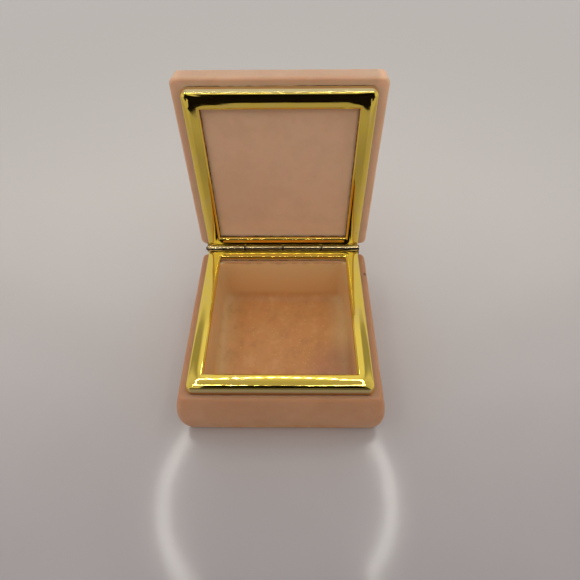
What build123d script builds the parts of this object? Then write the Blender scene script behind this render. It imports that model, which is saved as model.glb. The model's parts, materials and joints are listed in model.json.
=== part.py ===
from build123d import *
import math
import os

# Hinged square box: carved stone base and lid, each with a pressed brass rim frame, joined by a
# four-knuckle hinge along the back. Millimetres, +Z up, +Y towards the hinge. The origin is on the
# underside of the base, below the centre of the frames. The lid is exported open, resting back.

# Rim frames: outer size, width of the bars, and the pressed section of one bar
frame_width = 75.0
frame_depth = 76.4
bar_width = 7.0
frame_corner_radius = 3.0
crown_radius = 12.0
flange_thickness = 1.0
skirt_height = 5.0
skirt_thickness = 0.9
lip_height = 1.8
lip_thickness = 0.8
shoulder_radius = 1.3
lip_radius = 0.9

# Height of the parting plane, where the two frames meet when the box is shut
parting_height = 32.6

# Stone rim inside each frame, with room for the cement
rim_top_depth = 1.8
cement_gap = 0.3

# Base stone: overhang beyond the frame at the ledge, then the bow of the sides and the foot
base_side_overhang = 2.6
base_front_overhang = 1.8
base_widest_height = 15.0
base_bow = 2.6
base_foot_bow = 0.9
base_corner_radius = 2.5
base_edge_radius = 1.1

# Cavity in the base
cavity_width = 63.6
cavity_back = 29.2
cavity_front = -32.4
cavity_floor_height = 3.0
cavity_corner_radius = 4.6
cavity_floor_radius = 3.8

# Lid stone
lid_thickness = 15.6
lid_side_overhang = 3.8
lid_front_overhang = 3.0
lid_back_overhang = 0.5
lid_corner_radius = 2.8
lid_edge_radius = 1.2
lid_top_radius = 3.4
lid_panel_depth = 2.4
lid_panel_margin = 0.3

# Hinge: axis position, barrel, pin and leaves
hinge_inset = 1.2
open_angle = 95.2
barrel_radius = 1.6
bore_radius = 0.82
pin_radius = 0.8
pin_overhang = 0.8
pin_end_radius = 0.25
groove_radius = 1.8
knuckle_count = 4
knuckle_length = 18.3
knuckle_gap = 0.5
leaf_thickness = 0.55
leaf_front = 4.8
leaf_back = 1.9
leaf_half_length = 35.4

half_width = frame_width / 2
half_depth = frame_depth / 2
crown_x = half_width - frame_corner_radius
crown_y = half_depth - frame_corner_radius
hinge_y = half_depth - hinge_inset
hinge_length = knuckle_count * knuckle_length + (knuckle_count - 1) * knuckle_gap
knuckle_pitch = knuckle_length + knuckle_gap
ledge_height = parting_height - skirt_height
rim_top = parting_height - rim_top_depth
rim_inset = skirt_thickness + cement_gap
rim_width = frame_width - 2 * rim_inset
rim_depth = frame_depth - 2 * rim_inset
rim_corner_radius = frame_corner_radius - rim_inset
channel_width = frame_width - 2 * skirt_thickness
channel_depth = frame_depth - 2 * skirt_thickness
channel_corner_radius = frame_corner_radius - skirt_thickness
opening_width = frame_width - 2 * bar_width
opening_depth = frame_depth - 2 * bar_width
lip_outer = bar_width - lip_thickness
parting_plane = Plane.XY.offset(parting_height)

# Planes of the open lid: lid_plane is its parting plane, through the hinge axis, with local z
# pointing out of its top. fold_plane lies half way between, and mirrors the base onto the lid.
hinge_point = (0, hinge_y, parting_height)
turn = math.radians(open_angle)
lid_plane = Plane(origin=hinge_point, x_dir=(1, 0, 0), z_dir=(0, math.sin(turn), math.cos(turn)))
fold_plane = Plane(origin=hinge_point, x_dir=(1, 0, 0), z_dir=(0, math.sin(turn / 2), math.cos(turn / 2)))
lid_up = Axis(hinge_point, lid_plane.z_dir)

os.makedirs("parts", exist_ok=True)


def crown_drop(inward):
    # Drop of the domed face below its crown, at a distance in from the outer face of the skirt
    offset_from_crown = inward - frame_corner_radius
    return crown_radius - math.sqrt(crown_radius**2 - offset_from_crown**2)


# Rim frame of the base: one pressed section carried round the crown line. The inner corners are
# mitred, the outer corners rounded, and the back edge is grooved to let the barrel in.
skirt_edge = (0, -crown_drop(0))
lip_edge = (bar_width, -crown_drop(bar_width))
section_plane = Plane(origin=(0, -half_depth, parting_height), x_dir=(0, 1, 0), z_dir=(1, 0, 0))

with BuildPart() as base_frame:
    with BuildLine(parting_plane) as crown_line:
        Polyline(
            (0, -crown_y),
            (crown_x, -crown_y),
            (crown_x, crown_y),
            (-crown_x, crown_y),
            (-crown_x, -crown_y),
            (0, -crown_y),
        )
    with BuildSketch(section_plane) as bar_section:
        with BuildLine():
            ThreePointArc(skirt_edge, (frame_corner_radius, 0), lip_edge)
            Polyline(
                lip_edge,
                (bar_width, -lip_height),
                (lip_outer, -lip_height),
                (lip_outer, -flange_thickness),
                (skirt_thickness, -flange_thickness),
                (skirt_thickness, -skirt_height),
                (0, -skirt_height),
                skirt_edge,
            )
        make_face()
        fillet(bar_section.vertices().group_by(Axis.X)[0].sort_by(Axis.Y)[-1], radius=shoulder_radius)
        fillet(bar_section.vertices().group_by(Axis.X)[-1].sort_by(Axis.Y)[-1], radius=lip_radius)
    sweep(path=crown_line.wire(), transition=Transition.ROUND)
    with BuildSketch(Plane.YZ):
        with Locations((hinge_y, parting_height)):
            Circle(groove_radius)
    extrude(amount=frame_width, both=True, mode=Mode.SUBTRACT)
base_frame.part.label = "base_frame"
export_step(base_frame.part, "parts/base_frame.step")

# Rim frame of the lid: the same pressing, facing the base's
with BuildPart() as lid_frame:
    mirror(base_frame.part, about=fold_plane)
lid_frame.part.label = "lid_frame"
export_step(lid_frame.part, "parts/lid_frame.step")

# Base stone: two crossing outlines give the bowed front and sides and the flat back, then the rim
# that stands inside the frame, then the cavity.
base_side = half_width + base_side_overhang
base_front = half_depth + base_front_overhang

with BuildPart() as base_stone:
    with BuildSketch(Plane.XZ):
        with BuildLine():
            ThreePointArc(
                (base_side, ledge_height),
                (base_side + base_bow, base_widest_height),
                (base_side + base_foot_bow, 0),
            )
            Polyline(
                (base_side + base_foot_bow, 0),
                (0, 0),
                (0, ledge_height),
                (base_side, ledge_height),
            )
        make_face()
        mirror(about=Plane.YZ)
    extrude(amount=frame_depth, both=True)
    with BuildSketch(Plane.YZ):
        with BuildLine():
            ThreePointArc(
                (-base_front, ledge_height),
                (-base_front - base_bow, base_widest_height),
                (-base_front - base_foot_bow, 0),
            )
            Polyline(
                (-base_front - base_foot_bow, 0),
                (half_depth, 0),
                (half_depth, ledge_height),
                (-base_front, ledge_height),
            )
        make_face()
    extrude(amount=frame_width, both=True, mode=Mode.INTERSECT)
    corner_edges = base_stone.edges().filter_by(
        lambda edge: abs(edge.center().X) > crown_x and abs(edge.center().Y) > crown_y
    )
    fillet(corner_edges, radius=base_corner_radius)
    fillet(base_stone.faces().sort_by(Axis.Z)[0].edges(), radius=base_edge_radius)
    fillet(base_stone.faces().sort_by(Axis.Z)[-1].edges(), radius=base_edge_radius)
    with BuildSketch(Plane.XY.offset(ledge_height)):
        RectangleRounded(rim_width, rim_depth, rim_corner_radius)
    extrude(amount=skirt_height - rim_top_depth)
    with BuildSketch(Plane.XY.offset(cavity_floor_height)):
        with Locations((0, (cavity_front + cavity_back) / 2)):
            RectangleRounded(cavity_width, cavity_back - cavity_front, cavity_corner_radius)
    extrude(amount=parting_height, mode=Mode.SUBTRACT)
    cavity_floor = base_stone.faces().filter_by(
        lambda face: abs(face.center().Z - cavity_floor_height) < 0.01
    )
    fillet(cavity_floor.edges(), radius=cavity_floor_radius)
base_stone.part.label = "base_stone"
export_step(base_stone.part, "parts/base_stone.step")

# Lid stone: a slab with rounded top edges, a rim inside the frame and a shallow flat recess
lid_side = half_width + lid_side_overhang
lid_front = half_depth + lid_front_overhang
lid_back = half_depth + lid_back_overhang
with BuildPart() as lid_stone:
    with BuildSketch(lid_plane.offset(skirt_height)):
        with Locations((0, (lid_back - lid_front) / 2 - hinge_y)):
            RectangleRounded(2 * lid_side, lid_back + lid_front, lid_corner_radius)
    extrude(amount=lid_thickness - skirt_height)
    fillet(lid_stone.faces().sort_by(lid_up)[-1].edges(), radius=lid_top_radius)
    fillet(lid_stone.faces().sort_by(lid_up)[0].edges(), radius=lid_edge_radius)
    with BuildSketch(lid_plane.offset(rim_top_depth)):
        with Locations((0, -hinge_y)):
            RectangleRounded(rim_width, rim_depth, rim_corner_radius)
    extrude(amount=skirt_height - rim_top_depth)
    with BuildSketch(lid_plane.offset(lid_panel_depth)):
        with Locations((0, -hinge_y)):
            Rectangle(opening_width + 2 * lid_panel_margin, opening_depth + 2 * lid_panel_margin)
    extrude(amount=-lid_panel_depth, mode=Mode.SUBTRACT)
lid_stone.part.label = "lid_stone"
export_step(lid_stone.part, "parts/lid_stone.step")


def hinge_leaf(first_knuckle):
    # Leaf on the base side: a plate under the frame's flange, with every second knuckle from the
    # first, each joined to the plate by a tab
    with BuildPart() as leaf:
        with BuildSketch(parting_plane.offset(-flange_thickness)):
            with Locations((0, hinge_y - leaf_back)):
                Rectangle(2 * leaf_half_length, leaf_front - leaf_back, align=(Align.CENTER, Align.MAX))
        extrude(amount=-leaf_thickness)
        for knuckle in range(first_knuckle, knuckle_count, 2):
            start = knuckle * knuckle_pitch - hinge_length / 2
            tab_start = max(start, -leaf_half_length)
            tab_end = min(start + knuckle_length, leaf_half_length)
            with BuildSketch(parting_plane.offset(-flange_thickness)):
                with Locations((tab_start, hinge_y)):
                    Rectangle(tab_end - tab_start, leaf_back, align=(Align.MIN, Align.MAX))
            extrude(amount=-leaf_thickness)
            with BuildSketch(Plane.YZ.offset(start)):
                with Locations((hinge_y, parting_height)):
                    Circle(barrel_radius)
            extrude(amount=knuckle_length)
        with BuildSketch(Plane.YZ):
            with Locations((hinge_y, parting_height)):
                Circle(bore_radius)
        extrude(amount=hinge_length, both=True, mode=Mode.SUBTRACT)
    return leaf.part


def cement_bed(leaf):
    # Cement on the base side: fills the frame over the rim of the stone and round the rim's sides
    with BuildPart() as bed:
        with BuildSketch(Plane.XY.offset(rim_top)):
            RectangleRounded(channel_width, channel_depth, channel_corner_radius)
            Rectangle(frame_width - 2 * lip_outer, frame_depth - 2 * lip_outer, mode=Mode.SUBTRACT)
            with Locations((0, hinge_y - leaf_back)):
                Rectangle(frame_width, frame_depth, align=(Align.CENTER, Align.MIN), mode=Mode.SUBTRACT)
        extrude(amount=rim_top_depth - flange_thickness)
        with BuildSketch(Plane.XY.offset(ledge_height)):
            RectangleRounded(channel_width, channel_depth, channel_corner_radius)
            RectangleRounded(rim_width, rim_depth, rim_corner_radius, mode=Mode.SUBTRACT)
        extrude(amount=rim_top - ledge_height)
        add(leaf, mode=Mode.SUBTRACT)
    return bed.part


# Hinge leaves: knuckles 2 and 4 on the base, 1 and 3 on the lid, counted from the left
with BuildPart() as base_hinge_leaf:
    add(hinge_leaf(1))
base_hinge_leaf.part.label = "base_hinge_leaf"
export_step(base_hinge_leaf.part, "parts/base_hinge_leaf.step")

with BuildPart() as lid_hinge_leaf:
    mirror(hinge_leaf(0), about=fold_plane)
lid_hinge_leaf.part.label = "lid_hinge_leaf"
export_step(lid_hinge_leaf.part, "parts/lid_hinge_leaf.step")

# Hinge pin, standing out at the left end
with BuildPart() as hinge_pin:
    with BuildSketch(Plane.YZ.offset(-hinge_length / 2 - pin_overhang)):
        with Locations((hinge_y, parting_height)):
            Circle(pin_radius)
    extrude(amount=hinge_length + pin_overhang)
    fillet(hinge_pin.edges().filter_by(GeomType.CIRCLE), radius=pin_end_radius)
hinge_pin.part.label = "hinge_pin"
export_step(hinge_pin.part, "parts/hinge_pin.step")

# Cement beds: the base's stops at the cavity walls
with BuildPart() as base_cement:
    add(cement_bed(hinge_leaf(1)))
    with BuildSketch(Plane.XY.offset(cavity_floor_height)):
        with Locations((0, (cavity_front + cavity_back) / 2)):
            RectangleRounded(cavity_width, cavity_back - cavity_front, cavity_corner_radius)
    extrude(amount=parting_height, mode=Mode.SUBTRACT)
base_cement.part.label = "base_cement"
export_step(base_cement.part, "parts/base_cement.step")

with BuildPart() as lid_cement:
    mirror(cement_bed(hinge_leaf(0)), about=fold_plane)
lid_cement.part.label = "lid_cement"
export_step(lid_cement.part, "parts/lid_cement.step")
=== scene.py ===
"""Looks of a small hinged stone box with brass rim frames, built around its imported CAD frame.

The base pieces are built where they stand. The lid pieces are built shut, on the parting plane, and then
swung open about the hinge by the angle that the joint's record gives. Shapes are worked out in millimetres
and the meshes are in metres.
"""
import json
import math

import bmesh
import bpy
from mathutils import Matrix, Vector, noise


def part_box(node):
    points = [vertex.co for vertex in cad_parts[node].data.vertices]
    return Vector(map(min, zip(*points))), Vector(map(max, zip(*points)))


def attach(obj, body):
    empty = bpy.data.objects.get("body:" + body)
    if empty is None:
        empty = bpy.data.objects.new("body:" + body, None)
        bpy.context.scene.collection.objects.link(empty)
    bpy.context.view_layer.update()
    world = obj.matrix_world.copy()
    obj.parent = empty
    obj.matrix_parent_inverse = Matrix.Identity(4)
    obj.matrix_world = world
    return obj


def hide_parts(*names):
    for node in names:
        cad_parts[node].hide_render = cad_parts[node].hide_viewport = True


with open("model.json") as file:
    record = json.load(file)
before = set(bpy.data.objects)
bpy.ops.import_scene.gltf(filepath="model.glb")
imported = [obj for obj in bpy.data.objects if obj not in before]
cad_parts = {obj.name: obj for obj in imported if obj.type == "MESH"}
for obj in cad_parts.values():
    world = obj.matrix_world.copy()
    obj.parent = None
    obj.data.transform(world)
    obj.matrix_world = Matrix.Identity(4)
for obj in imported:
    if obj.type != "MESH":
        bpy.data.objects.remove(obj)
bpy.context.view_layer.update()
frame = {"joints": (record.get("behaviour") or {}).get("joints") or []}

scene = bpy.context.scene
MM = 0.001

# ------------------------------------------------------------------ sizes from the CAD frame, millimetres
lid_joint = frame["joints"][0]
hinge_y = lid_joint["pos_m"][1] / MM
parting = lid_joint["pos_m"][2] / MM
open_angle = math.radians(-lid_joint["range_deg"][0])

frame_low, frame_high = [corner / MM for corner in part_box("base_frame")]
frame_x, frame_y = frame_high.x, frame_high.y
ledge = frame_low.z
skirt_height = parting - ledge
stone_low, stone_high = [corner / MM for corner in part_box("base_stone")]
lid_half_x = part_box("lid_stone")[1].x / MM
pin_low, pin_high = [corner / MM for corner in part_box("hinge_pin")]

# ------------------------------------------------------------------ sizes of the pieces, millimetres
# Rim frames. An inset is measured in from the outer face, and a depth or a fall from the crown.
bar_width = 7.0
corner_radius = 3.0
opening_corner_radius = 0.35
crown_inset = 4.7
crown_power = 2.7
crown_radius_inside = 26.0
shoulder_inset = 1.1
shoulder_fall = 0.77
shoulder_radius = 0.9
skirt_tilt = 68.1  # degrees from flat, where the skirt meets the shoulder
lip_radius = 0.9
lip_height = 1.8
lip_thickness = 0.8
skirt_thickness = 0.9
flange_thickness = 1.0
mitre_softness = 1.7
closing_gap = 0.055
groove_radius = 1.8

# Stones.
rim_inset = 1.2
rim_top_depth = 1.8
base_rim_top = parting - rim_top_depth
rim_foot_flare = 0.3
arris = 0.1  # the bevel where two faces meet
base_widest_height = 15.0
base_bow = 2.6
base_foot_bow = 0.9
base_corner_radius = 2.5
base_edge_radius = 1.1
cavity_half_width = 31.8
cavity_front, cavity_back = -32.4, 29.2
cavity_floor = 3.0
cavity_corner_radius = 4.6
cavity_floor_radius = 3.8
cavity_edge_radius = 0.4
lid_thickness = 15.6
lid_front_overhang, lid_back_overhang = 3.0, 0.5
lid_corner_radius = 2.8
lid_edge_radius = 1.2
lid_top_radius = 3.4
panel_depth = 2.4
panel_margin = 0.3
panel_corner_radius = 0.5

# Hinge.
knuckle_count = 4
knuckle_gap = 0.5
knuckle_span = 2 * pin_high.x
knuckle_length = (knuckle_span - (knuckle_count - 1) * knuckle_gap) / knuckle_count
knuckle_edge = 0.1
barrel_radius = 1.6
bore_radius = 0.82
pin_radius = 0.8
pin_end_radius = 0.25
seam_width = 0.16
# Length of the darkened end of each knuckle, with grime and painted shade.
dark_end_length = 0.5
leaf_thickness = 0.55
plate_half_x = 35.4
plate_front, plate_back = 4.8, 1.9
plate_edge = 0.12

# Uneven surfaces, as (size, length) of each wave of noise.
STONE_WAVES = ((0.10, 26.0), (0.035, 7.0), (0.012, 2.4))
FACE_WAVES = ((0.035, 17.0), (0.009, 4.5))

lid_open = (
    Matrix.Translation(Vector((0, hinge_y, parting)))
    @ Matrix.Rotation(-open_angle, 4, "X")
    @ Matrix.Translation(Vector((0, -hinge_y, -parting)))
)
STAYS = Matrix.Identity(4)


# ------------------------------------------------------------------ mesh helpers
def smooth_step(low, high, value):
    """0 up to low, 1 from high on, and a smooth rise between them."""
    share = min(max((value - low) / (high - low), 0.0), 1.0)
    return share * share * (3 - 2 * share)


def arc_steps(count, start=0.0, end=90.0):
    """Angles in radians from start to end degrees, both included."""
    return [math.radians(start + (end - start) * i / count) for i in range(count + 1)]


def quarter_round(radius, count):
    """Steps round a quarter circle from a first face to a second one, as (distance from the second face,
    distance from the first face) pairs."""
    return [(radius * (1 - math.sin(turn)), radius * (1 - math.cos(turn))) for turn in arc_steps(count)]


def rounded_loop(x_half, y_low, y_high, radius, z, side_points=40, corner_points=8):
    """Points round a rectangle with rounded corners. Loops with the same numbers of points pair up."""
    corners = []
    for quarter in range(4):
        middle_x = (x_half - radius) * (1 if quarter in (0, 3) else -1)
        middle_y = y_high - radius if quarter in (0, 1) else y_low + radius
        corner = []
        for turn in arc_steps(corner_points, 90 * quarter, 90 * quarter + 90):
            x = middle_x + radius * math.cos(turn)
            y = middle_y + radius * math.sin(turn)
            corner.append(Vector((x, y, z)))
        corners.append(corner)
    loop = []
    for quarter, corner in enumerate(corners):
        following = corners[(quarter + 1) % 4][0]
        loop += corner
        loop += [corner[-1].lerp(following, i / side_points) for i in range(1, side_points)]
    return loop


def skin(loops, closed):
    """A bmesh over a list of equal loops: a ring if closed, else a solid capped at both ends."""
    bm = bmesh.new()
    rows = [[bm.verts.new(point) for point in loop] for loop in loops]
    count = len(rows[0])
    pairs = list(zip(rows, rows[1:]))
    if closed:
        pairs.append((rows[-1], rows[0]))
    for row, following in pairs:
        for i in range(count):
            j = (i + 1) % count
            bm.faces.new((row[i], row[j], following[j], following[i]))
    if not closed:
        bm.faces.new(rows[0][::-1])
        bm.faces.new(rows[-1])
    bmesh.ops.recalc_face_normals(bm, faces=bm.faces)
    return bm


def noise_sum(point, waves):
    return sum(size * noise.noise(point / length) for size, length in waves)


def wobble(bm, waves, free):
    """Moves vertices along their normals by waves of noise. free(point) is the share that a point gets."""
    bm.normal_update()
    moves = [vertex.normal * noise_sum(vertex.co, waves) * free(vertex.co) for vertex in bm.verts]
    for vertex, move in zip(bm.verts, moves):
        vertex.co += move


def make_piece(name, bm, material, body, place, replaces=(), sharp=None):
    """Finishes a bmesh in millimetres as a smooth-shaded piece riding on a body. Edges that turn by more
    than sharp degrees stay sharp."""
    bm.transform(Matrix.Scale(MM, 4) @ place)
    bmesh.ops.recalc_face_normals(bm, faces=bm.faces)
    mesh = bpy.data.meshes.new(name)
    bm.to_mesh(mesh)
    bm.free()
    mesh.polygons.foreach_set("use_smooth", [True] * len(mesh.polygons))
    if sharp:
        mesh.set_sharp_from_angle(angle=math.radians(sharp))
    mesh.materials.append(material)
    piece = bpy.data.objects.new(name, mesh)
    scene.collection.objects.link(piece)
    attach(piece, body)
    if replaces:
        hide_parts(*replaces)


def boolean(bm, tool, operation):
    """The bmesh of bm with the bmesh tool cut from it or joined to it."""
    parts = []
    for source in (bm, tool):
        mesh = bpy.data.meshes.new("work")
        source.to_mesh(mesh)
        source.free()
        parts.append(bpy.data.objects.new("work", mesh))
        scene.collection.objects.link(parts[-1])
    modifier = parts[0].modifiers.new("work", "BOOLEAN")
    modifier.operation = operation
    modifier.solver = "EXACT"
    modifier.object = parts[1]
    bpy.context.view_layer.update()
    depsgraph = bpy.context.evaluated_depsgraph_get()
    result = bmesh.new()
    result.from_mesh(parts[0].evaluated_get(depsgraph).to_mesh())
    for part in parts:
        bpy.data.objects.remove(part)
    return result


def rod(radius, x_start, x_end, y, z, sides, end_radius=0.0):
    """A round bar along X, with rounded ends if end_radius isn't zero."""
    rounding = quarter_round(end_radius, 5) if end_radius else [(0.0, 0.0)]
    stations = [(x_start + from_end, radius - drop) for from_end, drop in reversed(rounding)]
    stations += [(x_end - from_end, radius - drop) for from_end, drop in rounding]
    turns = [2 * math.pi * i / sides for i in range(sides)]
    loops = []
    for x, size in stations:
        loops.append([Vector((x, y + size * math.cos(turn), z + size * math.sin(turn))) for turn in turns])
    return skin(loops, closed=False)


# ------------------------------------------------------------------ material helpers
def new_material(name):
    material = bpy.data.materials.new(name)
    material.use_nodes = True
    return material, material.node_tree, material.node_tree.nodes["Principled BSDF"]


def node(tree, kind, inputs=None, **settings):
    """A new node. An input is a value or another node's output socket."""
    made = tree.nodes.new(kind)
    for key, value in settings.items():
        setattr(made, key, value)
    for key, value in (inputs or {}).items():
        if isinstance(value, bpy.types.NodeSocket):
            tree.links.new(value, made.inputs[key])
        else:
            made.inputs[key].default_value = value
    return made


def object_place(tree):
    return node(tree, "ShaderNodeTexCoord").outputs["Object"]


def attribute(tree, name):
    """A share stored at the vertices. It is 0 on a mesh that hasn't got it."""
    return node(tree, "ShaderNodeAttribute", attribute_name=name).outputs["Fac"]


def noise_at(tree, where, size_mm, detail=3.0, roughness=0.55, distortion=0.0):
    """A noise value between about 0.3 and 0.7, with features of the given size."""
    inputs = {
        "Vector": where,
        "Scale": 1 / (size_mm * MM),
        "Detail": detail,
        "Roughness": roughness,
        "Distortion": distortion,
    }
    return node(tree, "ShaderNodeTexNoise", inputs).outputs["Fac"]


def spots_at(tree, where, spacing_mm, core, edge):
    """1 in the middle of scattered spots and 0 around them. core and edge are shares of the spacing."""
    cells = node(tree, "ShaderNodeTexVoronoi", {"Vector": where, "Scale": 1 / (spacing_mm * MM)})
    return span(tree, cells.outputs["Distance"], core, edge, 1.0, 0.0)


def span(tree, value, low, high, to_low=0.0, to_high=1.0):
    """A value carried smoothly from the range low to high over to the range to_low to to_high."""
    inputs = {"Value": value, "From Min": low, "From Max": high, "To Min": to_low, "To Max": to_high}
    return node(tree, "ShaderNodeMapRange", inputs, interpolation_type="SMOOTHSTEP").outputs["Result"]


def maths(tree, operation, first, second=0.0):
    return node(tree, "ShaderNodeMath", {0: first, 1: second}, operation=operation).outputs[0]


def product(tree, first, *others):
    for other in others:
        first = maths(tree, "MULTIPLY", first, other)
    return first


def mix(tree, share, first, second):
    """Two colours mixed: the first where the share is 0 and the second where it is 1."""
    made = node(tree, "ShaderNodeMix", {"Factor": share}, data_type="RGBA")
    for index, value in ((6, first), (7, second)):
        if isinstance(value, bpy.types.NodeSocket):
            tree.links.new(value, made.inputs[index])
        else:
            made.inputs[index].default_value = (*value, 1.0)
    return made.outputs[2]


def scaled(colour, share):
    return [share * channel for channel in colour]


def near(tree, where, centre_mm, radius_mm, core=0.35):
    """1 close to a point, within the core's share of the radius, and 0 beyond the radius."""
    inputs = {0: where, 1: [c * MM for c in centre_mm]}
    reach = node(tree, "ShaderNodeVectorMath", inputs, operation="DISTANCE").outputs["Value"]
    return span(tree, reach, core * radius_mm * MM, radius_mm * MM, 1.0, 0.0)


def bump(tree, height, distance_mm, strength=1.0, below=None):
    """A normal bent by a height. below is the normal of a coarser bump that this one lies on."""
    inputs = {"Height": height, "Distance": distance_mm * MM, "Strength": strength}
    if below is not None:
        inputs["Normal"] = below
    return node(tree, "ShaderNodeBump", inputs).outputs["Normal"]


# ------------------------------------------------------------------ colours
BASE_PALE, BASE_DEEP = (0.67, 0.345, 0.175), (0.62, 0.305, 0.145)
LID_PALE, LID_DEEP = (0.67, 0.425, 0.275), (0.63, 0.385, 0.24)
CAVITY_WALL_PAINTED_LIGHT = (0.83, 0.575, 0.285)
CAVITY_FOOT_PAINTED_GLOW = (0.68, 0.295, 0.08)
FLOOR_FLECK = (0.95, 0.62, 0.25)
FLOOR_WORN_DARK = (0.47, 0.20, 0.075)
FLOOR_WORN_PALE = (0.93, 0.60, 0.30)
SOAKED_AND_SHADED_EDGE = (0.34, 0.12, 0.045)
PANEL_VEIL = (0.60, 0.36, 0.20)
DARK_STAIN = (0.09, 0.035, 0.02)
PURPLE_STAIN = (0.42, 0.21, 0.17)
PANEL_STAIN = (0.50, 0.27, 0.17)
GOLD, WORN_GOLD, PALE_GOLD = (0.955, 0.71, 0.12), (0.93, 0.69, 0.19), (0.96, 0.86, 0.42)
PALE_SKIRT_GOLD = (0.76, 0.66, 0.38)
SHADED_FOOT = (0.46, 0.30, 0.17)
GRIME_AND_GAP_SHADE = (0.05, 0.03, 0.015)
PIT = (0.10, 0.06, 0.02)
HINGE_BRASS, WORN_HINGE, SEEN_HINGE = (0.72, 0.57, 0.31), (0.52, 0.34, 0.16), (0.45, 0.33, 0.15)
# The pin's dark steel is taken nearly to black: painted shade where the pin shows in the gaps between
# knuckles.
PIN_STEEL, WORN_PIN, SEEN_PIN = (0.10, 0.08, 0.06), (0.06, 0.04, 0.03), (0.1, 0.08, 0.05)
GLUE_DARK, GLUE_PALE = (0.075, 0.032, 0.013), (0.20, 0.09, 0.035)


# ------------------------------------------------------------------ materials
def cavity_share(tree, across, along, up):
    """1 on the walls and the floor of the cavity and 0 outside it. Its edges fade out under the frame."""
    side_low, side_high = cavity_half_width + 0.8, cavity_half_width + 1.4
    side = span(tree, maths(tree, "ABSOLUTE", across), side_low * MM, side_high * MM, 1.0, 0.0)
    middle, half = (cavity_back + cavity_front) / 2, (cavity_back - cavity_front) / 2
    from_middle = maths(tree, "ABSOLUTE", maths(tree, "SUBTRACT", along, middle * MM))
    ends = span(tree, from_middle, (half + 2.2) * MM, (half + 2.8) * MM, 1.0, 0.0)
    above_foot = span(tree, up, 1.0 * MM, 2.0 * MM)
    return product(tree, side, ends, above_foot)


def hollowed_colour(tree, where, colour, deep, fine_cloud):
    """The colour of the base stone: painted shade on the ledge under the frame's skirt, painted light on
    the walls and the floor of the cavity where light comes through the stone, deeper orange and darker at
    the cavity's foot, an adhesive stain with painted shade along its back edge under the frame's lip, and
    worn and flecked on the floor."""
    place = node(tree, "ShaderNodeSeparateXYZ", {0: where})
    across, along, up = [place.outputs[axis] for axis in "XYZ"]

    # Painted shade on the ledge and the rim just under the frame's skirt.
    shade_under_skirt = span(tree, up, (ledge - 0.7) * MM, (ledge - 0.1) * MM, 0.0, 0.45)
    colour = mix(tree, shade_under_skirt, colour, scaled(deep, 0.66))
    # Painted light on the cavity's walls and floor, where light comes through the stone.
    colour = mix(tree, cavity_share(tree, across, along, up), colour, CAVITY_WALL_PAINTED_LIGHT)

    # An adhesive stain with painted shade under the frame's lip, along the cavity's ragged back edge.
    at_back = span(tree, along, (cavity_back - 0.6) * MM, (cavity_back + 0.2) * MM)
    ragged_height = maths(tree, "ADD", up, product(tree, fine_cloud, 3.0 * MM))
    at_top = span(tree, ragged_height, (base_rim_top - 0.2) * MM, (base_rim_top + 1.2) * MM, 0.0, 0.7)
    colour = mix(tree, product(tree, at_back, at_top), colour, SOAKED_AND_SHADED_EDGE)

    # Painted light at the cavity's foot: deeper orange and darker, for light through the thin floor.
    low = span(tree, up, (cavity_floor + 0.3) * MM, (cavity_floor + 6.8) * MM, 1.0, 0.0)
    side_low, side_high = 0.62 * cavity_half_width, 0.98 * cavity_half_width
    inside = span(tree, maths(tree, "ABSOLUTE", across), side_low * MM, side_high * MM, 1.0, 0.0)
    colour = mix(tree, product(tree, low, inside, 0.75), colour, CAVITY_FOOT_PAINTED_GLOW)

    flecks = spots_at(tree, where, 2.0, 0.09, 0.17)
    patches = span(tree, noise_at(tree, where, 9.0), 0.44, 0.56)
    colour = mix(tree, product(tree, flecks, 0.9, patches, low), colour, FLOOR_FLECK)

    wear = noise_at(tree, where, 5.5, detail=6.0, roughness=0.62)
    worn_dark = span(tree, wear, 0.50, 0.68, 0.0, 0.26)
    colour = mix(tree, product(tree, worn_dark, low), colour, FLOOR_WORN_DARK)
    worn_pale = span(tree, wear, 0.34, 0.48, 0.26, 0.0)
    return mix(tree, product(tree, worn_pale, low), colour, FLOOR_WORN_PALE)


def lid_colour_with_painted_light(tree, where, colour, pale):
    """The colour of the lid stone, with painted light: paler where its "panel" attribute says so, which is
    on the recessed panel and on the stone beside the frame, more on the right than the left, under a faint
    veil.
    """
    panel = attribute(tree, "panel")
    # Painted light: paler where the vertex attribute says so.
    colour = mix(tree, panel, colour, scaled(pale, 1.25))
    veil = noise_at(tree, where, 11.0, detail=5.0, roughness=0.6, distortion=0.3)
    veil = span(tree, veil, 0.42, 0.70, 0.0, 0.34)
    return mix(tree, product(tree, veil, panel), colour, PANEL_VEIL)


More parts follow.
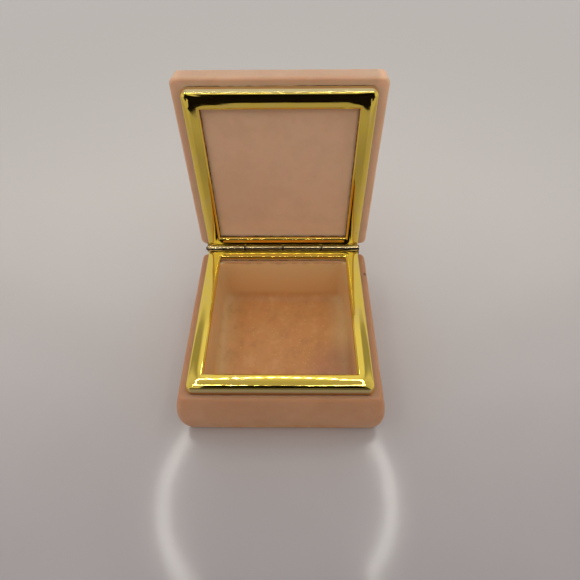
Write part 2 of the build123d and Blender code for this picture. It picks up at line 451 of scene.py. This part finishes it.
def alabaster(name, pale, deep, hollowed, marks):
    """Satin translucent pink stone, clouded between a pale and a deep tone. hollowed is for the base,
    whose cavity walls and thin floor get painted light for the light that comes through them. marks are
    stains, as (centre, radius, strength, colour)."""
    material, tree, shader = new_material(name)
    where = object_place(tree)
    cloud = noise_at(tree, where, 22.0, detail=4.0, distortion=0.8)
    fine_cloud = noise_at(tree, where, 5.0)
    grain = noise_at(tree, where, 0.5, detail=2.0)
    colour = mix(tree, span(tree, cloud, 0.35, 0.65), deep, pale)
    colour = mix(tree, span(tree, fine_cloud, 0.4, 0.75, 0.0, 0.22), colour, scaled(pale, 1.06))
    colour = mix(tree, span(tree, grain, 0.3, 0.7, 0.0, 0.10), colour, scaled(deep, 0.75))
    if hollowed:
        colour = hollowed_colour(tree, where, colour, deep, fine_cloud)
    else:
        colour = lid_colour_with_painted_light(tree, where, colour, pale)
    for centre, radius, strength, stain in marks:
        colour = mix(tree, product(tree, near(tree, where, centre, radius), strength), colour, stain)
    tree.links.new(colour, shader.inputs["Base Color"])
    polish = noise_at(tree, where, 8.0)
    tree.links.new(span(tree, polish, 0.3, 0.7, 0.36, 0.52), shader.inputs["Roughness"])
    shader.inputs["Subsurface Weight"].default_value = 0.7
    shader.inputs["Subsurface Radius"].default_value = (1.0, 0.42, 0.2)
    shader.inputs["Subsurface Scale"].default_value = 5.0 * MM
    shader.inputs["IOR"].default_value = 1.5
    pits = noise_at(tree, where, 1.1, detail=5.0, roughness=0.7)
    pitted = bump(tree, pits, 0.05, 0.5)
    tree.links.new(bump(tree, grain, 0.02, 0.4, below=pitted), shader.inputs["Normal"])
    return material


def polished_metal(name, colour, worn, seen_twice, roughness, scratch_depth, pit_spacing):
    """Metal with fine scratches, slight haze and a few dark pits. It has the colour seen_twice where it
    shows in another polished piece, so that repeated reflections stay yellow. The attributes "skirt" and
    "foot" say where the skirt is paler and duller, and where painted shade and a painted reflection of the
    stone darken the skirt's foot; a third attribute says where grime and painted shade darken the hinge's
    knuckle ends at their gaps."""
    material, tree, shader = new_material(name)
    where = object_place(tree)
    haze = noise_at(tree, where, 6.0, detail=5.0, roughness=0.65)
    base = mix(tree, span(tree, haze, 0.45, 0.75), colour, worn)
    pale_skirt = attribute(tree, "skirt")
    # The skirt is paler and duller than the face.
    base = mix(tree, product(tree, pale_skirt, 0.85), base, PALE_SKIRT_GOLD)
    # Painted shade and a painted reflection of the stone on the skirt's foot.
    base = mix(tree, attribute(tree, "foot"), base, SHADED_FOOT)
    # Grime and painted shade at the hinge's knuckle ends.
    base = mix(tree, attribute(tree, "grime_and_gap_shade"), base, GRIME_AND_GAP_SHADE)
    pits = spots_at(tree, where, pit_spacing, 0.03, 0.07)
    patches = span(tree, noise_at(tree, where, 11.0), 0.55, 0.6)
    base = mix(tree, product(tree, pits, patches), base, PIT)
    mirrored = node(tree, "ShaderNodeLightPath").outputs["Is Glossy Ray"]
    base = mix(tree, mirrored, base, seen_twice)
    tree.links.new(base, shader.inputs["Base Color"])
    shader.inputs["Metallic"].default_value = 1.0
    stretched = node(tree, "ShaderNodeMapping", {"Vector": where, "Scale": (1.0, 0.05, 0.2)})
    scratches = noise_at(tree, stretched.outputs["Vector"], 0.25, detail=2.0)
    smear = noise_at(tree, where, 3.0, detail=4.0)
    polish = span(tree, smear, 0.35, 0.7, *roughness)
    polish = maths(tree, "ADD", polish, product(tree, pale_skirt, 0.07))
    tree.links.new(polish, shader.inputs["Roughness"])
    tree.links.new(bump(tree, scratches, scratch_depth, 0.35), shader.inputs["Normal"])
    return material


def adhesive(name):
    """Lumpy dark amber adhesive with little shine."""
    material, tree, shader = new_material(name)
    lumps = noise_at(tree, object_place(tree), 1.5, detail=4.0)
    colour = mix(tree, span(tree, lumps, 0.35, 0.65), GLUE_DARK, GLUE_PALE)
    tree.links.new(colour, shader.inputs["Base Color"])
    shader.inputs["Specular IOR Level"].default_value = 0.15
    tree.links.new(span(tree, lumps, 0.3, 0.7, 0.3, 0.6), shader.inputs["Roughness"])
    tree.links.new(bump(tree, lumps, 0.15, 0.8), shader.inputs["Normal"])
    return material


base_marks = [
    ((39.8, 24.4, 27.6), 1.2, 0.8, DARK_STAIN),
    ((28.7, -42.6, 20.5), 0.45, 0.8, DARK_STAIN),
    ((29.0, -16.0, 3.0), 22.0, 0.42, PURPLE_STAIN),
]
lid_marks = [((-20.0, 44.0, 58.0), 20.0, 0.14, PANEL_STAIN)]
stone_base = alabaster("alabaster_base", BASE_PALE, BASE_DEEP, True, base_marks)
stone_lid = alabaster("alabaster_lid", LID_PALE, LID_DEEP, False, lid_marks)
gold = polished_metal("rim_gold", GOLD, WORN_GOLD, PALE_GOLD, (0.035, 0.08), 0.004, 3.1)
hinge_gold = polished_metal("hinge_gold", HINGE_BRASS, WORN_HINGE, SEEN_HINGE, (0.06, 0.12), 0.006, 1.3)
pin_metal = polished_metal("pin_metal", PIN_STEEL, WORN_PIN, SEEN_PIN, (0.3, 0.45), 0.01, 1.1)
glue = adhesive("old_adhesive")


# ------------------------------------------------------------------ rim frames
def crown_drop(inset):
    """Fall of the domed face below its crown, at a distance in from the outer face."""
    if inset < crown_inset:
        share = (crown_inset - inset) / (crown_inset - shoulder_inset)
        return shoulder_fall * share**crown_power
    return (inset - crown_inset) ** 2 / (2 * crown_radius_inside)


def rim_section():
    """The pressed section as (inset, depth below the crown, whether on the domed face) points: up the
    drafted skirt, over the shoulder, the dome and the lip, and back along the underside."""
    shoulder_slope = crown_power * shoulder_fall / (crown_inset - shoulder_inset)
    shoulder_end = math.degrees(math.atan(shoulder_slope))
    centre_inset = shoulder_inset + shoulder_radius * math.sin(math.radians(shoulder_end))
    centre_depth = shoulder_fall + shoulder_radius * math.cos(math.radians(shoulder_end))
    shoulder = []
    for turn in arc_steps(12, skirt_tilt, shoulder_end):
        inset = centre_inset - shoulder_radius * math.sin(turn)
        shoulder.append((inset, centre_depth - shoulder_radius * math.cos(turn), False))

    skirt_top_inset, skirt_top_depth, _ = shoulder[0]
    skirt_foot_depth = skirt_height - 0.25
    skirt_steps = 9
    points = []
    for i in range(skirt_steps):
        share = i / skirt_steps
        depth = skirt_foot_depth + (skirt_top_depth - skirt_foot_depth) * share
        points.append((skirt_top_inset * share**2, depth, False))
    points += shoulder

    face_end = bar_width - lip_radius
    face_steps = 27
    for i in range(1, face_steps):
        inset = shoulder_inset + (face_end - shoulder_inset) * i / face_steps
        points.append((inset, crown_drop(inset), True))
    for turn in arc_steps(8):
        inset = face_end + lip_radius * math.sin(turn)
        points.append((inset, crown_drop(inset) + lip_radius * (1 - math.cos(turn)), True))

    lip_back = bar_width - lip_thickness
    underside = [
        (bar_width, lip_height - 0.25),
        (bar_width - 0.04, lip_height - 0.08),
        (bar_width - 0.2, lip_height),
        (lip_back + 0.1, lip_height),
        (lip_back, lip_height - 0.1),
        (lip_back, flange_thickness + 0.15),
        (lip_back - 0.15, flange_thickness),
        (2.8, flange_thickness + 0.05),
        (1.7, flange_thickness + 0.3),
        (1.15, flange_thickness + 0.9),
        (skirt_thickness - 0.05, skirt_height - 0.12),
        (skirt_thickness - 0.17, skirt_height),
        (0.25, skirt_height),
        (0.06, skirt_height - 0.06),
    ]
    return points + [(inset, depth, False) for inset, depth in underside]


def softened_inset(point, inset):
    """The inset measured so that the four bars blend into each other at their mitres."""
    to_x, to_y = frame_x - abs(point.x), frame_y - abs(point.y)
    soft = mitre_softness * math.log(1 + math.exp(-abs(to_x - to_y) / mitre_softness))
    blended = min(to_x, to_y) - soft
    return inset + (blended - inset) * smooth_step(0.6, 3.2, inset)


def rim_frame(name, direction, place, body, replaced, pale_skirt, foot_shade):
    """One pressed frame. direction is -1 if it hangs below the parting plane and 1 if it stands above.
    The last two arguments say how far the skirt is paler, and how far painted shade and a painted
    reflection of the stone darken its foot, compared with the face's gold."""
    loops = []
    for inset, depth, on_face in rim_section():
        radius = max(corner_radius - inset, opening_corner_radius)
        x_half, y_half = frame_x - inset, frame_y - inset
        loop = rounded_loop(x_half, -y_half, y_half, radius, parting, side_points=60, corner_points=10)
        for point in loop:
            drop = depth
            if on_face:
                drop += crown_drop(softened_inset(point, inset)) - crown_drop(inset)
            point.z = parting + direction * drop
        loops.append(loop)
    bm = skin(loops, closed=True)

    for layer in ("skirt", "foot"):
        bm.verts.layers.float.new(layer)
    skirt, foot = bm.verts.layers.float["skirt"], bm.verts.layers.float["foot"]
    seed = Vector((0, 0, 50 * direction))
    for vertex in bm.verts:
        from_edge = min(frame_x - abs(vertex.co.x), frame_y - abs(vertex.co.y))
        # The skirt is paler and duller than the face.
        vertex[skirt] = pale_skirt * (1.0 - smooth_step(0.7, 1.0, from_edge))
        # Painted shade and a painted reflection of the brown stone ledge on the skirt's lower edge.
        vertex[foot] = foot_shade * (1.0 - smooth_step(0.08, 0.42, from_edge))
        face_share = 1.0 - smooth_step(1.0, 2.0, abs(vertex.co.z - parting))
        ripple = noise_sum(vertex.co + seed, FACE_WAVES)
        vertex.co.z += (ripple + closing_gap * direction) * face_share

    past_ends = frame_x + 2
    groove = rod(groove_radius, -past_ends, past_ends, hinge_y, parting, sides=64)
    bm = boolean(bm, groove, "DIFFERENCE")
    make_piece(name, bm, gold, body, place, (replaced,), sharp=38)


# ------------------------------------------------------------------ stones
# Shares of the way out from the middle of a flat face at which it has loops.
OUTWARD = (0.06, 0.2, 0.35, 0.5, 0.65, 0.78, 0.88, 0.95, 0.985)


def arc_offset(low, middle, high):
    """The offset at a height, on the circle through three (offset, height) points."""
    (x1, z1), (x2, z2), (x3, z3) = low, middle, high
    twice_area = 2 * (x1 * (z2 - z3) + x2 * (z3 - z1) + x3 * (z1 - z2))
    s1, s2, s3 = x1 * x1 + z1 * z1, x2 * x2 + z2 * z2, x3 * x3 + z3 * z3
    centre_x = (s1 * (z2 - z3) + s2 * (z3 - z1) + s3 * (z1 - z2)) / twice_area
    centre_z = (s1 * (x3 - x2) + s2 * (x1 - x3) + s3 * (x2 - x1)) / twice_area
    radius = math.hypot(x1 - centre_x, z1 - centre_z)
    return lambda z: centre_x + math.sqrt(radius**2 - (z - centre_z) ** 2)


def flat_loops(x_half, y_low, y_high, radius, z, shares):
    """Loops over a flat face, at shares of the way from its middle to its edge."""
    centre = (y_low + y_high) / 2
    loops = []
    for share in shares:
        low, high = centre + (y_low - centre) * share, centre + (y_high - centre) * share
        loops.append(rounded_loop(x_half * share, low, high, max(radius * share, 0.02), z))
    return loops


def rim_loops(foot, top):
    """Loops up the upstand that fits into a frame, from the height of its foot to that of its top."""
    up = arris if top > foot else -arris
    radius = corner_radius - rim_inset
    loops = []
    for outward, z in ((rim_foot_flare, foot), (0.0, foot + up), (0.0, top - up), (-arris, top)):
        x_half, y_half = frame_x - rim_inset + outward, frame_y - rim_inset + outward
        loops.append(rounded_loop(x_half, -y_half, y_half, radius, z))
    return loops


def base_stone():
    bow = arc_offset((base_foot_bow, 0.0), (base_bow, base_widest_height), (0.0, ledge))
    side = stone_high.x - bow(base_widest_height)
    front = -stone_low.y - bow(base_widest_height)

    def outer(bow_height, z, inset=0.0):
        """A loop at height z, with the bow that the outside has at bow_height."""
        radius = max(base_corner_radius - inset, 0.6)
        reach = bow(bow_height) - inset
        return rounded_loop(side + reach, -front - reach, frame_y - inset, radius, z)

    edge = base_edge_radius
    foot_reach = bow(edge) - edge
    foot = (side + foot_reach, -front - foot_reach, frame_y - edge, base_corner_radius - edge)
    loops = flat_loops(*foot, 0.0, OUTWARD)
    loops += [outer(edge, rise, inset) for inset, rise in quarter_round(edge, 7)]
    side_steps = 16
    for i in range(1, side_steps):
        z = edge + (ledge - 2 * edge) * i / side_steps
        loops.append(outer(z, z))
    loops += [outer(ledge - edge, ledge - drop, inset) for drop, inset in quarter_round(edge, 7)]
    loops += rim_loops(ledge, base_rim_top)

    def cavity(inset, z):
        low, high = cavity_front + inset, cavity_back - inset
        radius = max(cavity_corner_radius - inset, 1.2)
        return rounded_loop(cavity_half_width - inset, low, high, radius, z)

    edge = cavity_edge_radius
    loops += [cavity(-outward, base_rim_top - drop) for outward, drop in quarter_round(edge, 4)]
    fillet = cavity_floor_radius
    wall_top, wall_foot = base_rim_top - edge, cavity_floor + fillet
    wall_steps = 14
    loops += [cavity(0.0, wall_top + (wall_foot - wall_top) * i / wall_steps) for i in range(1, wall_steps)]
    loops += [cavity(inset, cavity_floor + rise) for rise, inset in quarter_round(fillet, 9)]
    floor = (cavity_half_width - fillet, cavity_front + fillet, cavity_back - fillet)
    loops += flat_loops(*floor, cavity_corner_radius - fillet, cavity_floor, reversed(OUTWARD))
    bm = skin(loops, closed=False)

    def free(point):
        in_cavity = abs(point.x) < cavity_half_width + 0.2
        in_cavity = in_cavity and cavity_front - 0.2 < point.y < cavity_back + 0.2
        if in_cavity and point.z > cavity_floor - 0.5:
            return 1.6 * smooth_step(0.0, 3.0, base_rim_top - point.z)
        under_frame = abs(point.x) < frame_x and abs(point.y) < frame_y and point.z > ledge - 0.4
        if under_frame and not in_cavity:
            return 0.0
        return smooth_step(0.0, 1.5, point.z)

    wobble(bm, STONE_WAVES, free)
    make_piece("base_carved_stone", bm, stone_base, "base", STAYS, ("base_stone",), sharp=50)


def lid_stone():
    top = parting + lid_thickness
    under = parting + skirt_height
    front = frame_y + lid_front_overhang
    back = frame_y + lid_back_overhang

    def outer(inset, z):
        radius = max(lid_corner_radius - 0.6 * inset, 0.6)
        return rounded_loop(lid_half_x - inset, -front + inset, back - inset, radius, z)

    edge = lid_top_radius
    loops = flat_loops(lid_half_x - edge, -front + edge, back - edge, 0.8, top, OUTWARD)
    loops += [outer(inset, top - drop) for inset, drop in quarter_round(edge, 10)]
    side_top, side_foot = top - edge, under + lid_edge_radius
    side_steps = 8
    loops += [outer(0.0, side_top + (side_foot - side_top) * i / side_steps) for i in range(1, side_steps)]
    loops += [outer(inset, under + rise) for rise, inset in quarter_round(lid_edge_radius, 7)]
    rim_low = parting + rim_top_depth
    loops += rim_loops(under, rim_low)

    panel_x, panel_y = frame_x - bar_width + panel_margin, frame_y - bar_width + panel_margin
    panel = parting + panel_depth
    for inset, radius, z in (
        (-arris, panel_corner_radius, rim_low),
        (0.0, panel_corner_radius, rim_low + arris),
        (0.0, panel_corner_radius, panel - arris),
        (arris, 0.9 * panel_corner_radius, panel),
    ):
        loops.append(rounded_loop(panel_x - inset, inset - panel_y, panel_y - inset, radius, z))
    loops += flat_loops(panel_x, -panel_y, panel_y, 0.9 * panel_corner_radius, panel, reversed(OUTWARD))
    bm = skin(loops, closed=False)

    def on_panel(point):
        return abs(point.x) < panel_x - 0.5 and abs(point.y) < panel_y - 0.5 and point.z < under

    def free(point):
        if on_panel(point):
            return 0.7
        under_frame = abs(point.x) < frame_x and abs(point.y) < frame_y and point.z < under + 0.3
        return 0.0 if under_frame else 1.0

    # Painted light: the recessed panel and the stone beside the frame are painted paler, the right side
    # more than the left.
    painted_light_layer = bm.verts.layers.float.new("panel")
    for vertex in bm.verts:
        beside_frame = smooth_step(frame_x - 0.5, frame_x + 1.0, abs(vertex.co.x))
        side_light = 1.1 if vertex.co.x > 0 else 0.45
        vertex[painted_light_layer] = 0.8 if on_panel(vertex.co) else side_light * beside_frame
    wobble(bm, STONE_WAVES, free)
    make_piece("lid_carved_stone", bm, stone_lid, "lid", lid_open, ("lid_stone",), sharp=50)


# ------------------------------------------------------------------ hinge
def knuckle_outline(side):
    """Sheet that comes off the plate and rolls round the pin, ending at a seam, as (y, z) points from the
    pin's axis. side is -1 for a leaf below the parting plane and 1 for one above it."""
    plate_top, plate_low = flange_thickness + 0.01, flange_thickness + leaf_thickness - 0.01
    root = -plate_back - 0.5
    tangent = math.degrees(math.atan2(-plate_low, -math.sqrt(barrel_radius**2 - plate_low**2)))
    seam = 180 + math.degrees(math.asin((plate_top - seam_width) / barrel_radius))
    outside, inside = arc_steps(56, tangent, seam), arc_steps(40, seam, -98)
    outline = [(root, -plate_low)]
    for radius, turns in ((barrel_radius, outside), (bore_radius, inside)):
        outline += [(radius * math.cos(turn), radius * math.sin(turn)) for turn in turns]
    outline.append((root, -plate_top))
    return [(y, -side * z) for y, z in outline]


def leaf_plate(side):
    """The flat plate of a leaf, against the inside of the flange, with its edges eased."""
    middle_z = parting + side * (flange_thickness + leaf_thickness / 2)
    end, eased = plate_half_x, plate_half_x - plate_edge
    loops = []
    for x, inset in ((-end, plate_edge), (-eased, 0.0), (eased, 0.0), (end, plate_edge)):
        y_low, y_high = hinge_y - plate_front + inset, hinge_y - plate_back - inset
        half = leaf_thickness / 2 - 0.4 * inset
        z_low, z_high = middle_z - half, middle_z + half
        corners = ((y_low, z_low), (y_high, z_low), (y_high, z_high), (y_low, z_high))
        loops.append([Vector((x, y, z)) for y, z in corners])
    return skin(loops, closed=False)


def rolled_knuckle(start, outline):
    """One knuckle from x = start, with its end edges eased."""
    same_place = 1e-6
    end = start + knuckle_length
    loops = []
    for x in (start, start + dark_end_length, start + knuckle_length / 2, end - dark_end_length, end):
        loops.append([Vector((x, hinge_y + y, parting + z)) for y, z in outline])
    knuckle = skin(loops, closed=False)

    def at_end(edge):
        first, second = [vertex.co.x for vertex in edge.verts]
        return abs(first - second) < same_place and min(abs(first - start), abs(first - end)) < same_place

    edges = [edge for edge in knuckle.edges if at_end(edge)]
    bmesh.ops.bevel(
        knuckle, geom=edges, offset=knuckle_edge, segments=2, affect="EDGES", clamp_overlap=True
    )
    return knuckle


def hinge_leaf(name, first, side, place, body, replaced):
    """Plate under the flange, with every second knuckle rolled out of it. Grime and painted shade darken
    their ends, where the knuckles meet at the gaps.
    """
    bm = leaf_plate(side)
    outline = knuckle_outline(side)
    pitch = knuckle_length + knuckle_gap
    for k in range(first, knuckle_count, 2):
        bm = boolean(bm, rolled_knuckle(k * pitch - knuckle_span / 2, outline), "UNION")
    # Grime and painted shade at the ends of each knuckle, darkest at the gaps between knuckles.
    grime_and_gap_shade = bm.verts.layers.float.new("grime_and_gap_shade")
    for vertex in bm.verts:
        from_start = (vertex.co.x + knuckle_span / 2) % pitch
        from_end = min(from_start, abs(knuckle_length - from_start))
        vertex[grime_and_gap_shade] = 1.0 - smooth_step(0.12, 0.95 * dark_end_length, from_end)
    make_piece(name, bm, hinge_gold, body, place, (replaced,), sharp=35)


# ------------------------------------------------------------------ adhesive
def bead(name, x_half, y_low, y_high, radius, z, size, body, place, flatness=1.0):
    """An uneven bead of adhesive squeezed out along a rounded rectangle."""
    path = rounded_loop(x_half, y_low, y_high, radius, z, side_points=70, corner_points=6)
    count, sides = len(path), 10
    loops = []
    for i, point in enumerate(path):
        ahead = (path[(i + 1) % count] - path[i - 1]).normalized()
        across = Vector((ahead.y, -ahead.x, 0))
        swell = size * max(0.75 + noise_sum(point, ((0.9, 2.3), (0.5, 0.8))), 0.3)
        drift = 0.25 * size * noise.noise(point / 4 + Vector((9, 0, 0)))
        height = flatness * min(swell, size)
        ring = []
        for k in range(sides):
            turn = 2 * math.pi * k / sides
            upward = Vector((0, 0, height * math.sin(turn)))
            ring.append(point + across * (drift + swell * math.cos(turn)) + upward)
        loops.append(ring)
    make_piece(name, skin(loops, closed=True), glue, body, place)


def cement_bed(name, direction, place, body, replaced):
    """The cement inside one frame: over the stone's rim and down its sides."""
    inner = bar_width - lip_thickness
    section = [
        (rim_inset - 0.04, skirt_height - 0.05),
        (skirt_thickness + 0.02, skirt_height - 0.05),
        (1.12, flange_thickness + 1.1),
        (1.75, flange_thickness + 0.38),
        (2.9, flange_thickness + 0.1),
        (inner - 0.3, flange_thickness + 0.05),
        (inner - 0.05, flange_thickness + 0.3),
        (inner - 0.05, rim_top_depth - 0.04),
        (rim_inset + 0.4, rim_top_depth - 0.04),
        (rim_inset - 0.04, rim_top_depth + 0.3),
    ]
    loops = []
    for inset, depth in section:
        radius = max(corner_radius - inset, opening_corner_radius)
        z = parting + direction * depth
        loops.append(rounded_loop(frame_x - inset, inset - frame_y, frame_y - inset, radius, z))
    make_piece(name, skin(loops, closed=True), glue, body, place, (replaced,), sharp=40)


# ------------------------------------------------------------------ the box
rim_frame("base_rim_frame", -1, STAYS, "base", "base_frame", pale_skirt=0.75, foot_shade=0.9)
rim_frame("lid_rim_frame", 1, lid_open, "lid", "lid_frame", pale_skirt=1.0, foot_shade=0.0)
base_stone()
lid_stone()
hinge_leaf("base_rolled_leaf", 1, -1, STAYS, "base", "base_hinge_leaf")
hinge_leaf("lid_rolled_leaf", 0, 1, lid_open, "lid", "lid_hinge_leaf")
pin = rod(pin_radius, pin_low.x, pin_high.x, hinge_y, parting, 40, pin_end_radius)
make_piece("hinge_pin_turned", pin, pin_metal, "base", STAYS, ("hinge_pin",))

opening_x, opening_y = frame_x - bar_width + 0.1, frame_y - bar_width + 0.1
skirt_x, skirt_y = frame_x - 0.1, frame_y - 0.1
bead("base_bead_inner", cavity_half_width - 0.3, cavity_front + 0.3, cavity_back + 1.2, 2.4,
     base_rim_top + 0.02, 0.2, "base", STAYS)
bead("lid_bead_inner", opening_x, -opening_y, opening_y, panel_corner_radius,
     parting + panel_depth - 0.15, 0.26, "lid", lid_open)
bead("base_bead_outer", skirt_x, -skirt_y, skirt_y, corner_radius,
     ledge + 0.02, 0.1, "base", STAYS, flatness=0.6)
bead("lid_bead_outer", skirt_x, -skirt_y, skirt_y, corner_radius,
     parting + skirt_height - 0.02, 0.17, "lid", lid_open, flatness=0.6)
cement_bed("base_cement_bed", -1, STAYS, "base", "base_cement")
cement_bed("lid_cement_bed", 1, lid_open, "lid", "lid_cement")

# ------------------------------------------------------------------ studio, metres
lamp_ring_centre = Vector((-0.013, 0.0, 0.30))
lamp_ring_radii = (0.121, 0.112)
lamp_size, lamp_count, lamp_strength = 0.0066, 54, 44.0

SKY_TINT = (1.0, 0.97, 0.945)
# The sky's brightness by the sine of the elevation.
SKY_LEVELS = ((0.0, 0.62), (0.80, 0.62), (0.93, 0.50), (0.965, 0.43), (1.0, 0.43))
FLOOR_TONES = ((0.50, 0.465, 0.475), (0.52, 0.485, 0.495))
FAR_FLOOR_PAINTED_LIGHT, NEAR_FLOOR_PAINTED_LIGHT = (0.78, 0.74, 0.71), (0.70, 0.67, 0.65)
LAMP = (1.0, 0.97, 0.90)
BLACK = (0.01, 0.008, 0.008)
SEAM_CENTRE, SEAM_END = (0.85, 0.82, 0.78), (0.17, 0.165, 0.16)


def stage_mesh(name, bm, material, camera):
    """A staged thing that isn't part of the object. camera says whether the camera sees it."""
    mesh = bpy.data.meshes.new(name)
    bm.to_mesh(mesh)
    bm.free()
    mesh.materials.append(material)
    thing = bpy.data.objects.new(name, mesh)
    scene.collection.objects.link(thing)
    thing.visible_camera = camera
    return thing


def card(name, size_x, size_y, place, material, camera=False):
    """A flat rectangle, lying in the XY plane before it is placed."""
    bm = bmesh.new()
    x, y = size_x / 2, size_y / 2
    corners = [bm.verts.new(corner) for corner in ((-x, -y, 0), (x, -y, 0), (x, y, 0), (-x, y, 0))]
    bm.faces.new(corners)
    bm.transform(place)
    return stage_mesh(name, bm, material, camera)


def floor_material():
    """Pale satin floor with painted light, lighter at the back and in the foreground than beside the box.
    """
    material, tree, shader = new_material("pale_floor")
    where = object_place(tree)
    tone = noise_at(tree, where, 60.0, detail=2.0)
    back = node(tree, "ShaderNodeSeparateXYZ", {0: where}).outputs["Y"]
    colour = mix(tree, span(tree, tone, 0.3, 0.7), *FLOOR_TONES)
    # Painted light: the floor is paler towards the back and in the foreground.
    colour = mix(tree, span(tree, back, -0.13, 0.14), colour, FAR_FLOOR_PAINTED_LIGHT)
    colour = mix(tree, span(tree, back, -0.24, -0.12, 1.0, 0.0), colour, NEAR_FLOOR_PAINTED_LIGHT)
    tree.links.new(colour, shader.inputs["Base Color"])
    shader.inputs["Roughness"].default_value = 0.13
    return material


def plain(name, colour, strength=0.0):
    """Matt paint without any shine, glowing if strength isn't zero."""
    material, _, shader = new_material(name)
    shader.inputs["Base Color"].default_value = (*colour, 1)
    shader.inputs["Roughness"].default_value = 0.9
    shader.inputs["Specular IOR Level"].default_value = 0.0
    shader.inputs["Emission Color"].default_value = (*colour, 1)
    shader.inputs["Emission Strength"].default_value = strength
    return material


def soft_strip(name, middle, half, centre_tone, end_tone):
    """A glowing strip along X, bright at its centre and dim towards its ends, which lean to the back. It
    fades out at its long edges."""
    straight_half, lean, opacity = 0.11, 0.37, 0.7
    material, tree, _ = new_material(name)
    place = node(tree, "ShaderNodeSeparateXYZ", {0: object_place(tree)})
    from_centre = maths(tree, "ABSOLUTE", place.outputs["X"])
    along_end = maths(tree, "MAXIMUM", maths(tree, "SUBTRACT", from_centre, straight_half), 0.0)
    middle_here = maths(tree, "ADD", product(tree, along_end, lean), middle)
    off_middle = maths(tree, "ABSOLUTE", maths(tree, "SUBTRACT", place.outputs["Y"], middle_here))
    solid = span(tree, off_middle, 0.3 * half, half, opacity, 0.0)
    tone = mix(tree, span(tree, from_centre, 0.09, 0.12), centre_tone, end_tone)
    glow = node(tree, "ShaderNodeEmission", {"Color": tone, "Strength": 1.0})
    clear = node(tree, "ShaderNodeBsdfTransparent")
    blend = node(tree, "ShaderNodeMixShader", {0: solid, 1: clear.outputs[0], 2: glow.outputs[0]})
    tree.links.new(blend.outputs[0], tree.nodes["Material Output"].inputs["Surface"])
    return material


def ring_light(centre, radii, size, lamps, strength):
    """An oval ring of small round lamps facing down."""
    bm = bmesh.new()
    for i in range(lamps):
        turn = 2 * math.pi * i / lamps
        offset = Vector((radii[0] * math.cos(turn), radii[1] * math.sin(turn), 0))
        place = Matrix.Translation(centre + offset)
        bmesh.ops.create_circle(bm, cap_ends=True, segments=10, radius=size / 2, matrix=place)
    for face in bm.faces:
        if face.normal.z > 0:
            face.normal_flip()
    stage_mesh("ring_light", bm, plain("lamp", LAMP, strength), camera=False)


def sky():
    """A pale even sky that dims overhead."""
    world = bpy.data.worlds.new("studio")
    scene.world = world
    world.use_nodes = True
    tree = world.node_tree
    direction = node(tree, "ShaderNodeTexCoord").outputs["Generated"]
    height = node(tree, "ShaderNodeSeparateXYZ", {0: direction}).outputs["Z"]
    ramp = node(tree, "ShaderNodeValToRGB", {"Fac": height})
    stops = ramp.color_ramp.elements
    for position, _ in SKY_LEVELS[1:-1]:
        stops.new(position)
    for stop, (_, level) in zip(stops, SKY_LEVELS):
        stop.color = (*scaled(SKY_TINT, level), 1.0)
    tree.links.new(ramp.outputs["Color"], tree.nodes["Background"].inputs["Color"])
    tree.nodes["Background"].inputs["Strength"].default_value = 1.0


# The cards are there to be reflected in the brass. Only the camera's body also shades what is round it.
card("floor", 4.0, 4.0, Matrix.Identity(4), floor_material(), camera=True)
ring_light(lamp_ring_centre, lamp_ring_radii, lamp_size, lamp_count, lamp_strength)
sky()
black = plain("black_card", BLACK)
upright = Matrix.Rotation(math.pi / 2, 4, "X")
seam_tones = soft_strip("roof_tones", 0.13, 0.07, SEAM_CENTRE, SEAM_END)
reflected = [
    card("front_opening", 0.46, 0.27, Matrix.Translation((-0.01, -0.335, 0.13)) @ upright, black),
    card("roof_seam", 1.4, 0.44, Matrix.Translation((0, 0.24, 0.30)), seam_tones),
    card("front_sill_left", 0.16, 0.09, Matrix.Translation((-0.155, -0.295, 0.001)), black),
    card("front_sill_right", 0.10, 0.07, Matrix.Translation((0.12, -0.305, 0.001)), black),
]
for dark in reflected:
    dark.visible_diffuse = False
    dark.visible_shadow = False

# ------------------------------------------------------------------ camera
camera_place = Vector((0.00592, -0.10685, 0.18145))
camera_pitch, camera_yaw, camera_roll = 0.9027, 0.0198, 0.0155
focal_share = 0.7168  # focal length as a share of the picture's width
aim = (
    Matrix.Rotation(camera_yaw, 4, "Z")
    @ Matrix.Rotation(math.pi / 2 - camera_pitch, 4, "X")
    @ Matrix.Rotation(camera_roll, 4, "Z").inverted()
)
lens = bpy.data.cameras.new("camera")
lens.sensor_width = 36.0
lens.lens = focal_share * lens.sensor_width
lens.clip_start = 0.005
camera = bpy.data.objects.new("camera", lens)
scene.collection.objects.link(camera)
camera.matrix_world = Matrix.Translation(camera_place) @ aim
scene.camera = camera

behind_lens = Matrix.Translation((0.0, -0.013, 0.004))
card("camera_body", 0.15, 0.092, camera.matrix_world @ behind_lens, black)

scene.view_settings.view_transform = "Standard"
scene.cycles.use_denoising = True
scene.cycles.max_bounces = 12
scene.cycles.glossy_bounces = 8
scene.cycles.sample_clamp_indirect = 4.0

bpy.context.view_layer.update()
